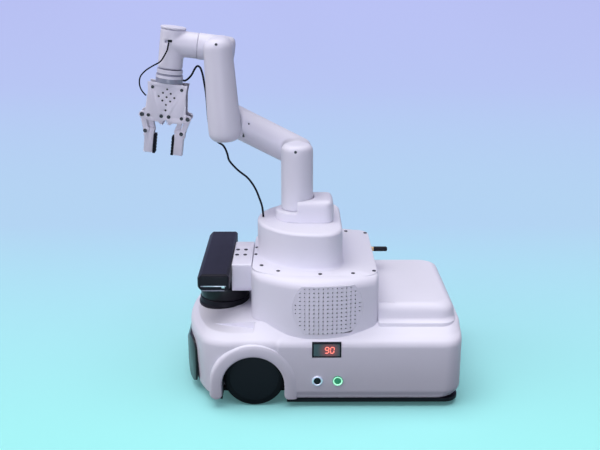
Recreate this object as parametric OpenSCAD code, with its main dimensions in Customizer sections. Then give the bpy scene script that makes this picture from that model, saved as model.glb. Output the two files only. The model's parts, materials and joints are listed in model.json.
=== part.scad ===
// Mobile robot: a two-wheel-drive base that carries a six-joint arm with a geared two-finger gripper.
// Millimetres. X is forward, Y is the robot's left, Z is up.
// The origin is on the floor, under the first axis of the arm.

/* [Body] */
// Rear face of the body
rear_x = -217.7; // [-225:0.1:-205]
// Middle of the front face of the body
front_x = 151; // [145:1:158]
// Half of the width of the body over its sides
half_w = 130; // [126:1:134]
// Height of the lower rim above the floor
rim_z = 13; // [11:1:16]
// Height of the lower shell under the tower
shell_z = 110; // [106:1:114]
// Height of the front deck that carries the scanner
deck_z = 101; // [98:1:104]
// Thickness of the moulded walls
wall = 3; // [2.5:0.5:4]
// Radius of the rounded shoulder along both sides
shoulder_r = 30; // [24:1:34]

/* [Tower] */
// Rear face of the tower
tower_rear = -107; // [-112:1:-100]
// Front face of the tower
tower_front = 62; // [58:1:66]
// Top of the tower
tower_z = 176; // [170:1:180]
// Radius of the bowed sides of the tower
bow_r = 171; // [165:1:180]
// Half of the tower's width at its widest place
tower_half_w = 123; // [118:1:125]
// Top of the rear cover
cover_z = 133; // [128:1:138]

/* [Wheels] */
// Radius of a drive wheel, which is also the height of its axle
wheel_r = 41; // [38:1:42]
// Width of a drive wheel
wheel_w = 28; // [20:1:30]
// Place of the drive axle along X
wheel_x = 57; // [54:1:60]
// Radius of a caster wheel
caster_r = 15; // [13:1:16]
// Distance from a caster's swivel axis back to its axle
caster_trail = 11; // [8:1:13]

/* [Arm] */
// Height of the shoulder axis
shoulder_z = 307.7; // [300:0.1:315]
// Length of the upper arm, axis to axis
upper_len = 110.4; // [100:0.1:120]
// Rise of the upper arm above level
upper_rise = 27; // [0:1:60]
// Length of the forearm, axis to axis
fore_len = 94; // [90:0.1:100]
// Rise of the forearm above level
fore_rise = 86.7; // [60:0.1:90]
// Distance between the plane of the forearm and the plane of the upper arm
arm_offset = 50; // [48:1:54]
// Radius of the shoulder column
column_r = 22; // [21:0.5:25]
// Radius of the upper arm
upper_r = 22; // [20:0.5:23]
// Radius of the forearm at the wrist
wrist_r = 19.5; // [18:0.5:21]
// Distance from the fourth axis to the tool axis
wrist_len = 68; // [60:1:70]
// Lean of the tool axis from plumb
tool_lean = 7.1; // [0:0.1:12]

/* [Gripper] */
// Half of the gap between the finger pads
grip_half_gap = 11; // [1:0.5:20]
// Distance of the link pivots on the body below the wrist centre
pivot_drop = 96; // [94:1:98]
// Distance from the tool axis to the pivot of a geared arm
gear_x = 23; // [22:0.5:24]
// Distance from the tool axis to the pivot of an outer link
link_x = 31.7; // [31:0.1:34]
// Length of each gripper link
link_len = 22.7; // [20:0.1:26]
// Tilt of the gripper links towards the tool axis
link_tilt = 16.5; // [0:0.5:30]
// Teeth on a full circle of the finger gears
gear_teeth = 46; // [46:2:46]

/* [Hidden] */
$fn = 64;
eps = 0.01;
slice = 0.2;       // thickness of the slices that a moulding is blended through
fit = 0.05;        // radial clearance of a pin in its bore
gap = 0.4;         // space between parts that turn against each other
seam = 0.15;       // space between fixed mouldings
tube_rise = 4.5;   // height of the fifth axis over the wrist centre

// Elbow, fourth axis and wrist centre, worked out from the links
elbow_x = upper_len * cos(upper_rise);
elbow_z = shoulder_z + upper_len * sin(upper_rise);
fourth_x = elbow_x + fore_len * cos(fore_rise);
fourth_z = elbow_z + fore_len * sin(fore_rise);
wrist_x = fourth_x + wrist_len * cos(tool_lean);
wrist_z = fourth_z + wrist_len * sin(tool_lean) - tube_rise;

// Plan of the lower body
nose_r = 240;                         // bow of the front
corner_r = 18;                        // rounding between the bow and the sides

// Drive wheel and wheel arch
wheel_out = half_w - wall - 1.5;      // outer face of a drive wheel
arch_x = 58.3;
arch_r = 41.6;
arch_z = 33;
lip_w = 12;
lip_y = half_w + 2.5;

// Tower plan
bow_x = -22;                          // centre of the bowed sides along X
rim_r = 14;                           // rounding of the tower's upper rim
front_cut = 147;                      // X + Y on the flats that cut the front corners

// Casters
caster_x = -165;
caster_y = 87;
caster_top = 44;
kingpin_r = 4;
caster_axle_r = 2;

// Scanner, camera and controls
lidar_x = 103;
lidar_r = 35;
lidar_rotor_z = 113;
lidar_top = 131;
bar_x0 = 89.5;
bar_x1 = 131.5;
bar_half = 95;
bar_z0 = 152;
bar_z1 = 175.5;
display_x = -38.4;
display_z = 83.5;
display_w = 38;
display_h = 21;
stop_x = -26.3;
start_x = -53.2;
button_z = 40;
button_r = 4.6;
bezel_r = 7;
barrel_r = 6;
press = 1.5;

// Loudspeaker grille
grille_x = -39.6;
grille_z = 138;
grille_r = 46;
hole_field_r = 43;
hole_pitch = 6;
hole_rise = 5.64;
hole_r = 0.95;

// Arm base and pedestal
pedestal_z = 226;
pedestal_r = 81;
pedestal_x = -26;
pedestal_rear = -61;
hood_z = 256;
column_z = 240;
column_top = shoulder_z + 22.3;
plane_gap = arm_offset / 2;           // half-way between the two arm planes

// Gripper, measured down from the wrist centre along the tool axis
plate_y = 14;
plate_t = 3;
gear_half_t = 4;
finger_top = 125;
finger_end = 150.2;
pin_r = 1.5;
body_pin_r = 2;
open_r = 13.9;
open_drop = 114.7;
foot_drop = pivot_drop + link_len * cos(link_tilt);
inner_foot_x = gear_x - link_len * sin(link_tilt);
outer_foot_x = link_x - link_len * sin(link_tilt);

// ---------- shared shapes ----------

// Rectangle with true round corners, radii from the lower left one anticlockwise
module box2(x0, x1, y0, y1, r) {
    difference() {
        translate([x0, y0]) square([x1 - x0, y1 - y0]);
        corner2(x0, y0, 1, 1, r[0]);
        corner2(x1, y0, -1, 1, r[1]);
        corner2(x1, y1, -1, -1, r[2]);
        corner2(x0, y1, 1, -1, r[3]);
    }
}

module corner2(x, y, sx, sy, r) {
    if (r > 0) translate([x, y]) mirror([sx < 0 ? 1 : 0, 0]) mirror([0, sy < 0 ? 1 : 0])
        difference() {
            translate([-1, -1]) square(r + 1);
            translate([r, r]) circle(r);
        }
}

// Solid that shows three outlines: from above, from the side and from the front
module carve(reach = 300) {
    intersection() {
        linear_extrude(height = reach * 2, center = true) children(0);
        rotate([90, 0, 0]) linear_extrude(height = reach * 2, center = true) children(1);
        rotate([90, 0, 90]) linear_extrude(height = reach * 2, center = true) children(2);
    }
}

// Cylinder along Z with a rounded rim at either end
module soft_cylinder(r, z0, z1, low = 0, high = 0) {
    rotate_extrude() box2(0, r, z0, z1, [0, low, high, 0]);
}

// Cylinder along Y
module y_cylinder(r, x, z, y0, y1) {
    translate([x, y1, z]) rotate([90, 0, 0]) cylinder(r = r, h = y1 - y0);
}

module both_sides() {
    children();
    mirror([0, 1, 0]) children();
}

// Wrist frame: X along the fifth axis, -Z along the tool axis
module at_wrist() {
    translate([wrist_x, -arm_offset, wrist_z]) rotate([0, -tool_lean, 0]) children();
}

// ---------- body ----------

// Plan of the lower body: a box with a bowed front, pulled in by t
module body_plan(t) {
    centre = front_x - nose_r;
    corner_y = half_w - corner_r;
    corner = [centre + sqrt(pow(nose_r - corner_r, 2) - pow(corner_y, 2)), corner_y];
    ray = (corner - [centre, 0]) / norm(corner - [centre, 0]);
    difference() {
        intersection() {
            box2(rear_x + t, front_x + 20, -half_w + t, half_w - t, [24 - t, 0, 0, 24 - t]);
            translate([centre, 0]) circle(nose_r - t, $fn = 128);
        }
        for (side = [0, 1]) mirror([0, side]) difference() {
            polygon([corner, corner + 3 * corner_r * ray, corner + [0, 3 * corner_r]]);
            translate(corner) circle(corner_r - t);
        }
    }
}

// Outer form of the lower body, pulled in by t all round
module body_form(t) {
    carve() {
        body_plan(t);
        difference() {
            box2(rear_x + t, front_x - t, rim_z - 1, shell_z - t, [15 - t, 0, 10, 2]);
            translate([56 - t, deck_z - t]) square(200);
            polygon([[front_x + 1, rim_z + 45], [front_x + 1, 0], [front_x - 12 - t, 0],
                [front_x - 9 - t, rim_z]]);
        }
        box2(-half_w + t, half_w - t, rim_z - 1, shell_z - t,
            [0, 0, shoulder_r - t, shoulder_r - t]);
    }
}

// Wheel arch seen from the side, grown by g
module arch2(g) {
    translate([arch_x, arch_z]) circle(arch_r + g);
    translate([arch_x - arch_r - g, 0]) square([2 * (arch_r + g), arch_z]);
}

module lower_shell() {
    color("white") {
        difference() {
            body_form(0);
            difference() {
                body_form(wall);
                translate([-400, -400, -1]) cube([800, 800, 0.5]);
            }
            translate([-400, -400, 0]) cube([800, 800, rim_z]);
            both_sides() rotate([90, 0, 0]) translate([0, 0, -half_w - 10])
                linear_extrude(height = 50) arch2(0);
            // display, buttons, power socket and cable pass
            translate([display_x - display_w / 2 - 0.2, half_w - 20, display_z - display_h / 2 - 0.2])
                cube([display_w + 0.4, 30, display_h + 0.4]);
            for (x = [stop_x, start_x]) y_cylinder(barrel_r + 0.1, x, button_z, half_w - 10, half_w + 10);
            translate([rear_x - 5, -60, 60]) rotate([0, 90, 0]) cylinder(r = 8.1, h = 20);
            translate([-60, 0, shell_z - 10]) cylinder(r = 20, h = 20);
        }
        both_sides() arch_lip();
    }
}

// Raised lip round a wheel arch
module arch_lip() {
    intersection() {
        rotate([90, 0, 0]) translate([0, 0, -lip_y]) linear_extrude(height = 6)
            difference() {
                arch2(lip_w);
                arch2(0);
            }
        translate([0, 0, rim_z + 1]) cube([400, 400, 400]);
    }
}

module base_plate() {
    color("#202024") difference() {
        translate([0, 0, 7]) linear_extrude(height = 5.8)
            box2(rear_x + 3, front_x - 34, -half_w + 3, half_w - 3, [20, 40, 40, 20]);
        both_sides() {
            translate([wheel_x - wheel_r - 2, wheel_out - wheel_w - 3, 0])
                cube([2 * wheel_r + 4, 60, 20]);
            translate([caster_x, caster_y, 0]) cylinder(r = 34, h = 20);
        }
    }
}

module front_visor() {
    color("#101014") difference() {
        carve() {
            intersection() {
                translate([front_x + 6 - 200, 0]) circle(200, $fn = 128);
                box2(100, front_x + 7, -84, 84, [0, 14, 14, 0]);
            }
            intersection() {
                box2(100, front_x + 6, 12.5, 76, [0, 4, 6, 0]);
                translate([front_x + 6 - 65, 43]) circle(65, $fn = 128);
            }
            box2(-84, 84, 12.5, 76, [14, 14, 14, 14]);
        }
        body_form(-seam);
    }
}

module rear_cover() {
    color("white") difference() {
        rear_cover_form(0);
        rear_cover_form(wall);
        body_form(-seam);
    }
}

module rear_cover_form(t) {
    top = cover_z - t;
    carve() {
        box2(rear_x + 3 + t, tower_rear - seam - t, -99 + t, 99 - t, [20 - t, 3, 3, 20 - t]);
        intersection() {
            box2(rear_x + t, tower_rear - seam - t, 90, top, [0, 0, 0, 10 - t]);
            polygon([[rear_x + 3 + t, 90], [rear_x + 10 + t, 140], [0, 140], [0, 90]]);
        }
        intersection() {
            box2(-99 + t, 99 - t, 90, top, [0, 0, 10 - t, 10 - t]);
            polygon([[-103 + t, 90], [103 - t, 90], [91 - t, 140], [-91 + t, 140]]);
        }
    }
}

// ---------- tower ----------

// Plan of the tower with bowed sides, pulled in by t
module tower_plan(t) {
    intersection() {
        box2(tower_rear + t, tower_front - t, -130, 130, [0, 0, 0, 0]);
        translate([bow_x, tower_half_w - bow_r]) circle(bow_r - t, $fn = 120);
        translate([bow_x, bow_r - tower_half_w]) circle(bow_r - t, $fn = 120);
        front_flats(t);
    }
}

// Half plane pair that cuts the two front corners of the tower
module front_flats(t) {
    s = front_cut - t * sqrt(2);
    polygon([[-200, -200], [s - 200, -200], [s, 0], [s - 200, 200], [-200, 200]]);
}

// Outer form of the tower: two bowed sides with a rounded rim, pulled in by t
module tower_form(t) {
    top = tower_z - t;
    intersection() {
        translate([bow_x, tower_half_w - bow_r, 0]) soft_cylinder(bow_r - t, 84, top, 0, rim_r - t);
        translate([bow_x, bow_r - tower_half_w, 0]) soft_cylinder(bow_r - t, 84, top, 0, rim_r - t);
        translate([0, 0, 84]) linear_extrude(height = 100)
            box2(tower_rear + t, tower_front - t, -150, 150, [0, 0, 0, 0]);
        translate([0, 0, 84]) linear_extrude(height = 100) front_flats(t);
    }
}

// Grille field seen from the side, grown by g
module grille2(g) {
    intersection() {
        translate([grille_x, grille_z]) circle(grille_r + g);
        box2(grille_x - 60, grille_x + 60, 103 - g, 169 + g, [6, 6, 20, 20]);
    }
}

module tower_shell() {
    color("white") difference() {
        tower_form(0);
        tower_form(wall);
        body_form(-seam);
        translate([0, 0, tower_z - 3]) linear_extrude(height = 10) deck_plan(-seam);
        rotate([90, 0, 0]) translate([0, 0, -tower_half_w - 10]) linear_extrude(height = 40) grille2(0.2);
        translate([tower_rear - 5, -50, 168 - 6]) rotate([0, 90, 0]) cylinder(r = 3.3, h = 20);
    }
}

module speaker_grille() {
    color("white") difference() {
        intersection() {
            rotate([90, 0, 0]) translate([0, 0, -tower_half_w - 10]) linear_extrude(height = 40) grille2(0);
            translate([-22, tower_half_w - bow_r, 90]) difference() {
                cylinder(r = bow_r, h = 90, $fn = 240);
                translate([0, 0, -1]) cylinder(r = bow_r - 3, h = 92, $fn = 240);
            }
        }
        body_form(-seam);
        for (i = [-7 : 7], k = [0 : 11])
            if (norm([i * hole_pitch, 166 - k * hole_rise - grille_z]) < hole_field_r)
                y_cylinder(hole_r, grille_x + i * hole_pitch, 166 - k * hole_rise, 100, 140);
    }
}

module speaker_driver() {
    color("#303034") {
        y_cylinder(27, grille_x, grille_z + 1, 109, 112);
        y_cylinder(22, grille_x, grille_z + 1, 96, 109);
        y_cylinder(14, grille_x, grille_z + 1, 88, 96);
    }
}

module deck_plan(t) {
    intersection() {
        box2(tower_rear + 1 + t, tower_front - 1.5 - t, -99 + t, 99 - t, [4, 30, 30, 4]);
        translate([bow_x, tower_half_w - bow_r]) circle(bow_r - 8.5 - t, $fn = 120);
        translate([bow_x, bow_r - tower_half_w]) circle(bow_r - 8.5 - t, $fn = 120);
        front_flats(8.5 + t);
    }
}

deck_screw_at = [[57, 14.6], [48, 60], [25.2, 82], [-30.1, 94.2], [-73.3, 91], [-101.6, 82]];

module deck_plate() {
    color("white") difference() {
        translate([0, 0, tower_z - 3]) linear_extrude(height = 3 - 2 * eps) deck_plan(0);
        both_sides() for (p = deck_screw_at) translate([p[0], p[1], tower_z - 5]) cylinder(r = 1.6, h = 10);
        for (x = [-96, -76], y = [-30, 30]) translate([x, y, tower_z - 5]) cylinder(r = 2.2, h = 10);
    }
}

module deck_screws() {
    color("#18181c") both_sides() for (p = deck_screw_at) translate([p[0], p[1], 0]) {
        translate([0, 0, tower_z]) cylinder(r = 2.6, h = 0.8);
        translate([0, 0, tower_z - 2.8]) cylinder(r = 1.55, h = 2.8);
    }
}

// ---------- pedestal and arm base ----------

// Plan of the pedestal: a disc with a flat rear and two round rear corners, pulled in by t
module pedestal_plan(t) {
    r = pedestal_r - t;
    c = 22 - t;
    flat = pedestal_rear + t;
    corner = [flat + c, sqrt(pow(r - c, 2) - pow(flat + c - pedestal_x, 2))];
    out = (corner - [pedestal_x, 0]) * 1.6;
    difference() {
        translate([pedestal_x, 0]) circle(r, $fn = 96);
        translate([flat - 100, -100]) square([100, 200]);
        for (s = [0, 1]) mirror([0, s]) difference() {
            polygon([corner, [pedestal_x, 0] + out, [flat - 40, 120], [flat - 40, corner[1]]]);
            translate(corner) circle(c);
        }
    }
}

module pedestal() {
    color("white") difference() {
        translate([0, 0, tower_z]) linear_extrude(height = pedestal_z - tower_z) pedestal_plan(0);
        translate([0, 0, tower_z - 1]) cylinder(r = 20, h = 60);
    }
}

module arm_base() {
    color("white") difference() {
        union() {
            carve() {
                box2(-50, 0, -30, 30, [14, 0, 0, 14]);
                box2(-50, 0, pedestal_z, hood_z, [0, 0, 0, 9]);
                box2(-30, 30, pedestal_z, hood_z, [0, 0, 9, 9]);
            }
            soft_cylinder(30, pedestal_z, column_z - gap, 0, 2);
        }
        translate([0, 0, column_z - gap]) cylinder(r = column_r + 1.2, h = 40);
        translate([0, 0, pedestal_z - 1]) cylinder(r = 8 + fit, h = 40);
    }
}

// ---------- controls ----------

module display_housing() {
    color("#101014") difference() {
        translate([display_x - display_w / 2, half_w - 13, display_z - display_h / 2])
            cube([display_w, 12.6, display_h]);
        translate([display_x - display_w / 2 + 2, half_w - 3, display_z - display_h / 2 + 2])
            cube([display_w - 4, 10, display_h - 4]);
    }
}

module display_window() {
    color("#2a0808") translate([display_x - display_w / 2 + 2, half_w - 3, display_z - display_h / 2 + 2])
        cube([display_w - 4, 2.2, display_h - 4]);
}

module button_bezels() {
    color("silver") for (x = [stop_x, start_x]) difference() {
        union() {
            translate([x, half_w, button_z]) rotate([-90, 0, 0]) soft_cylinder(bezel_r, 0, 2, 0, 0.8);
            y_cylinder(barrel_r, x, button_z, half_w - 16, half_w);
        }
        y_cylinder(button_r + fit, x, button_z, half_w - 14, half_w + 10);
    }
}

module button_cap(x) {
    translate([x, half_w, button_z]) rotate([-90, 0, 0]) soft_cylinder(button_r, -10, 1.6, 0, 0.5);
}

module stop_button() {
    color("#303038") button_cap(stop_x);
}

module start_button() {
    color("#30c070") button_cap(start_x);
}

// ---------- inside the body ----------

module battery_pack() {
    color("#2850a0") translate([-122, -58, 12.9]) cube([100, 116, 46]);
}

module control_board() {
    color("#1f6b3a") {
        translate([-130, -70, 66]) cube([120, 140, 1.6]);
        for (x = [-126, -14], y = [-66, 66]) translate([x, y, 12.9]) cylinder(r = 3, h = 53.1);
        translate([-100, -40, 67.6]) cube([40, 40, 8]);
        translate([-40, -60, 67.6]) cube([16, 110, 12]);
    }
}

module drive_motors() {
    color("#606068") both_sides() difference() {
        union() {
            y_cylinder(17, wheel_x, wheel_r, 34, 72);
            translate([wheel_x - 20, 72, wheel_r - 20]) cube([40, 20, 40]);
            translate([wheel_x - 22, 78, 12.9]) cube([44, 4, wheel_r - 20]);
        }
        y_cylinder(4 + fit, wheel_x, wheel_r, 74, 100);
    }
}

module wheel_hub() {
    y_inner = wheel_out - wheel_w;
    color("#1c1c20") {
        y_cylinder(4, wheel_x, wheel_r, 76, y_inner + 4);
        translate([wheel_x, y_inner + 2, wheel_r]) rotate([-90, 0, 0])
            soft_cylinder(wheel_r - 9, 0, wheel_w - 2, 0, 3);
    }
}

module wheel_tyre() {
    color("#18181a") translate([wheel_x, wheel_out - wheel_w, wheel_r]) rotate([-90, 0, 0])
        rotate_extrude($fn = 96) box2(wheel_r - 9, wheel_r, 0, wheel_w, [0, 5, 5, 0]);
}

module left_wheel() { wheel_hub(); }
module left_tyre() { wheel_tyre(); }
module right_wheel() { mirror([0, 1, 0]) wheel_hub(); }
module right_tyre() { mirror([0, 1, 0]) wheel_tyre(); }

module caster_mounts() {
    color("#404048") both_sides() translate([caster_x, caster_y, 0]) {
        difference() {
            translate([0, 0, 12.9]) cylinder(r = 38, h = caster_top - 12.9 + 4);
            translate([0, 0, 0]) cylinder(r = 35, h = caster_top);
        }
        translate([0, 0, 30]) cylinder(r = kingpin_r, h = caster_top - 30 + 1);
    }
}

module caster_fork() {
    color("#808088") translate([caster_x, caster_y, 0]) difference() {
        union() {
            translate([0, 0, 34]) cylinder(r = 13, h = 8);
            for (y = [-11, 8]) hull() {
                translate([-10, y, 34]) cube([20, 3, 4]);
                y_cylinder(6, -caster_trail, caster_r, y, y + 3);
            }
            y_cylinder(caster_axle_r, -caster_trail, caster_r, -11, 11);
        }
        translate([0, 0, 20]) cylinder(r = kingpin_r + fit, h = 40);
    }
}

module caster_wheel() {
    color("#28282c") difference() {
        translate([caster_x - caster_trail, caster_y + 7.5, caster_r]) rotate([90, 0, 0])
            rotate_extrude() box2(caster_axle_r + fit, caster_r, 0, 15, [0, 3, 3, 0]);
    }
}

module left_caster_fork() { caster_fork(); }
module left_caster_wheel() { caster_wheel(); }
module right_caster_fork() { mirror([0, 1, 0]) caster_fork(); }
module right_caster_wheel() { mirror([0, 1, 0]) caster_wheel(); }

module charge_port() {
    color("#202024") translate([rear_x, -60, 60]) rotate([0, 90, 0]) difference() {
        union() {
            translate([0, 0, -1.5]) cylinder(r = 9.5, h = 1.5);
            cylinder(r = 8, h = 14);
        }
        translate([0, 0, -2]) cylinder(r = 4, h = 12);
        }
}

// ---------- scanner and camera ----------

module lidar_base() {
    color("#141418") translate([lidar_x, 0, 0]) difference() {
        union() {
            soft_cylinder(lidar_r + 1.5, deck_z + 0.1, deck_z + 4, 0, 1);
            soft_cylinder(lidar_r, deck_z + 0.1, lidar_rotor_z - gap, 0, 1.5);
        }
        translate([0, 0, deck_z + 3]) cylinder(r = 6 + fit, h = 40);
    }
}

module lidar_rotor() {
    color("#1a1a20") translate([lidar_x, 0, 0]) {
        soft_cylinder(lidar_r - 1, lidar_rotor_z, lidar_top, 1, 3);
        translate([0, 0, deck_z + 4]) cylinder(r = 6, h = 10);
    }
}

module camera_bracket() {
    x0 = tower_front + seam;
    x1 = bar_x0 - seam;
    color("white") difference() {
        carve() {
            box2(x0, x1, -50, 50, [0, 3, 3, 0]);
            box2(x0, x1, 132, tower_z - 2, [3, 3, 3, 0]);
            box2(-50, 50, 132, tower_z - 2, [12, 12, 3, 3]);
        }
        for (x = [72.7, 84], y = [-11, 11]) translate([x, y, 160]) cylinder(r = 1.6, h = 20);
    }
}

module bracket_screws() {
    color("#18181c") for (x = [72.7, 84], y = [-11, 11]) translate([x, y, tower_z - 2]) {
        cylinder(r = 2.6, h = 1);
        translate([0, 0, -3]) cylinder(r = 1.55, h = 3);
    }
}

module camera_bar() {
    color("#101014") difference() {
        carve() {
            box2(bar_x0, bar_x1, -bar_half, bar_half, [3, 6, 6, 3]);
            intersection() {
                box2(bar_x0, bar_x1, bar_z0, bar_z1, [2, 2, 2, 2]);
                polygon([[bar_x0, bar_z0 + 3], [bar_x0 + 4, bar_z0], [bar_x1 - 7, bar_z0],
                    [bar_x1, bar_z0 + 6], [bar_x1, bar_z1 - 6], [bar_x1 - 6, bar_z1],
                    [bar_x0 + 4, bar_z1], [bar_x0, bar_z1 - 3]]);
            }
            box2(-bar_half, bar_half, bar_z0, bar_z1, [4, 4, 4, 4]);
        }
        translate([bar_x1 - 1.5, -82, bar_z0 + 6.5]) cube([10, 164, bar_z1 - bar_z0 - 13]);
    }
}

module camera_window() {
    zc = (bar_z0 + bar_z1) / 2;
    color("#20242c") {
        translate([bar_x1 - 1.4, -81.9, bar_z0 + 6.6]) cube([1, 163.8, bar_z1 - bar_z0 - 13.2]);
        for (y = [-38, -12, 12, 38]) translate([bar_x1 - 0.4, y, zc]) rotate([0, 90, 0])
            cylinder(r = y * y > 400 ? 4.6 : 3.4, h = 0.8);
    }
}

module camera_trim() {
    color("silver") both_sides() {
        translate([bar_x0 + 6, bar_half, bar_z0 + 7]) cube([bar_x1 - bar_x0 - 14, 0.6, 1.2]);
        translate([bar_x0 + 6, bar_half, bar_z0 + 5]) cube([4, 0.6, 2]);
    }
}

module antenna_base() {
    color("#c09040") translate([tower_rear, -50, 168 - 6]) rotate([0, -90, 0]) {
        cylinder(r = 4, h = 2.2, $fn = 6);
        cylinder(r = 3.2, h = 5);
        translate([0, 0, -8]) cylinder(r = 3.2, h = 8);
    }
}

module antenna_rod() {
    color("#141416") translate([tower_rear - 5, -50, 168 - 6]) rotate([0, -90, 0])
        soft_cylinder(3.5, 0, 20, 0.5, 2.4);
}

// ---------- arm ----------

// Screw pocket on the side of an arm housing that faces +Y
module screw_pocket(x, z, y) {
    y_cylinder(1.7, x, z, y - 3, y + 10);
}

module shoulder_housing() {
    color("white") difference() {
        union() {
            soft_cylinder(column_r, column_z, column_top, 0, 9);
            y_cylinder(upper_r - 9, 0, shoulder_z, -plane_gap + gap / 2, 0);
            translate([0, 0, pedestal_z + 2]) cylinder(r = 8, h = column_z - pedestal_z);
        }
        screw_pocket(1, shoulder_z + 14.4, column_r);
        y_cylinder(6 + fit, 0, shoulder_z, -plane_gap - 1, -plane_gap + 12);
    }
}

module upper_arm() {
    color("white") difference() {
        union() {
            translate([0, -arm_offset, shoulder_z]) rotate([0, 90 - upper_rise, 0])
                soft_cylinder(upper_r, -17, upper_len + upper_r, 14, 9);
            y_cylinder(18.5, 0, shoulder_z, -arm_offset, -plane_gap - gap / 2);
            y_cylinder(upper_r, elbow_x, elbow_z, -arm_offset, -plane_gap - gap / 2);
            y_cylinder(6, 0, shoulder_z, -plane_gap - gap, -plane_gap + 10);
        }
        y_cylinder(6 + fit, elbow_x, elbow_z, -plane_gap - 12, 0);
        for (side = [-8, 8]) translate([0, -arm_offset, shoulder_z]) rotate([0, 90 - upper_rise, 0])
            translate([side, 0, upper_len - 31]) rotate([-90, 0, 0]) cylinder(r = 1.6, h = 40);
    }
}

module forearm() {
    low_r = 22;
    color("white") difference() {
        union() {
            translate([elbow_x, 0, elbow_z]) rotate([0, 90 - fore_rise, 0]) rotate_extrude() {
                box2(0, low_r, -24.5, 8, [0, 13, 0, 0]);
                polygon([[0, 0], [low_r, 0], [low_r, 8], [wrist_r, fore_len], [0, fore_len]]);
                box2(0, wrist_r, fore_len - 1, fore_len + 19.5, [0, 0, 14, 0]);
            }
            y_cylinder(19.6, elbow_x, elbow_z, -plane_gap + gap / 2, 0);
            y_cylinder(6, elbow_x, elbow_z, -plane_gap - 10, -plane_gap + gap);
            y_cylinder(wrist_r - 0.5, fourth_x, fourth_z, -plane_gap + gap / 2, 0);
        }
        screw_pocket(fourth_x - 1, fourth_z + 11, wrist_r);
        y_cylinder(6 + fit, fourth_x, fourth_z, -plane_gap - 1, -plane_gap + 12);
    }
}

module wrist_elbow() {
    seam_x = -36;
    color("white") {
        at_wrist() translate([0, 0, tube_rise]) difference() {
            rotate([0, 90, 0]) soft_cylinder(18, -wrist_len - 18, seam_x, 8, 0);
            rotate([0, 90, 0]) translate([0, 0, seam_x - 9]) cylinder(r = 5 + fit, h = 12);
        }
        y_cylinder(wrist_r - 0.5, fourth_x, fourth_z, -arm_offset, -plane_gap - gap / 2);
        y_cylinder(6, fourth_x, fourth_z, -plane_gap - 1, -plane_gap + 10);
    }
}

module wrist_can() {
    seam_x = -36;
    color("white") at_wrist() difference() {
        union() {
            soft_cylinder(17, -30.5, 23.5, 0, 0);
            translate([0, 0, tube_rise]) rotate([0, 90, 0]) translate([0, 0, seam_x + gap]) cylinder(r = 17.6, h = -seam_x);
            translate([0, 0, tube_rise]) rotate([0, 90, 0]) translate([0, 0, seam_x - 8]) cylinder(r = 5, h = 12);
        }
        translate([0, 0, -31.5]) cylinder(r = 6 + fit, h = 14);
        translate([0, 0, 14.5]) cylinder(r = 14, h = 20);
        translate([5.5, 12, 6.6]) cube([5, 10, 4], center = true);
    }
}

module can_cap() {
    color("white") at_wrist() {
        soft_cylinder(17.4, 23.6, 26.5, 0, 1);
        translate([0, 0, 17.5]) cylinder(r = 13.9, h = 7);
    }
}

// ---------- gripper ----------

module tool_flange() {
    color("#a8aab8") at_wrist() {
        soft_cylinder(17.6, -37.4, -30.5 - gap, 0.6, 0.6);
        soft_cylinder(16.6, -39, -37, 0, 0);
        soft_cylinder(18.6, -49.9, -38.4, 1, 1);
        translate([0, 0, -31.5]) cylinder(r = 6, h = 12);
    }
}

module gripper_adapter() {
    color("#9a9cac") at_wrist() translate([0, 0, -51.9]) linear_extrude(height = 1.95)
        box2(-18.5, 18.5, -10.8, 10.8, [4, 4, 4, 4]);
}

module gripper_outline() {
    difference() {
        union() {
            polygon([[-27.4, -50.1], [27.4, -50.1], [26, -63], [28.2, -90], [link_x, -pivot_drop + 4.5],
                [link_x, -pivot_drop - 4.5], [20, -104], [-20, -104], [-link_x, -pivot_drop - 4.5],
                [-link_x, -pivot_drop + 4.5], [-28.2, -90], [-26, -63]]);
            for (s = [-1, 1]) translate([s * link_x, -pivot_drop]) circle(4.6);
        }
        translate([0, -open_drop]) circle(open_r);
        translate([-open_r, -open_drop - 30]) square([2 * open_r, 30]);
        for (s = [-1, 1]) {
            translate([s * link_x, -pivot_drop]) circle(body_pin_r + 0.02);
            translate([s * gear_x, -pivot_drop]) circle(body_pin_r + 0.02);
            translate([s * 20, -56.6]) circle(1.6);
            translate([s * 5.15, -95.7]) circle(1.8);
        }
        translate([0, -68.7]) rotate(45) for (i = [-1 : 1], k = [-1 : 1])
            translate([i * 7.6, k * 7.6]) circle(1.5);
        translate([0, -87.1]) circle(1.5);
    }
}

module gripper_plates() {
    color("white") at_wrist() for (y = [plate_y, plate_t - plate_y])
        translate([0, y, 0]) rotate([90, 0, 0]) linear_extrude(height = plate_t) gripper_outline();
}

module gripper_servo() {
    color("#303038") at_wrist() translate([-20, -plate_y + plate_t, -70]) cube([40, 22, 18]);
}

// Pivot pins of the links, with their heads, and the clamping screws of the plates
module gripper_pins() {
    color("#55555c") at_wrist() {
        for (x = [-link_x, -gear_x, gear_x, link_x]) {
            y_cylinder(body_pin_r, x, -pivot_drop, -plate_y, plate_y);
            y_cylinder(abs(x) > 30 ? 3 : 2.4, x, -pivot_drop, plate_y, plate_y + 1);
        }
        for (s = [-1, 1]) {
            y_cylinder(2.2, s * 20, -56.6, plate_y, plate_y + 0.8);
            y_cylinder(1.55, s * 20, -56.6, plate_y - 3, plate_y);
            y_cylinder(2.6, s * 5.15, -95.7, plate_y, plate_y + 0.8);
            y_cylinder(1.75, s * 5.15, -95.7, plate_y - 3, plate_y);
        }
    }
}

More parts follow.
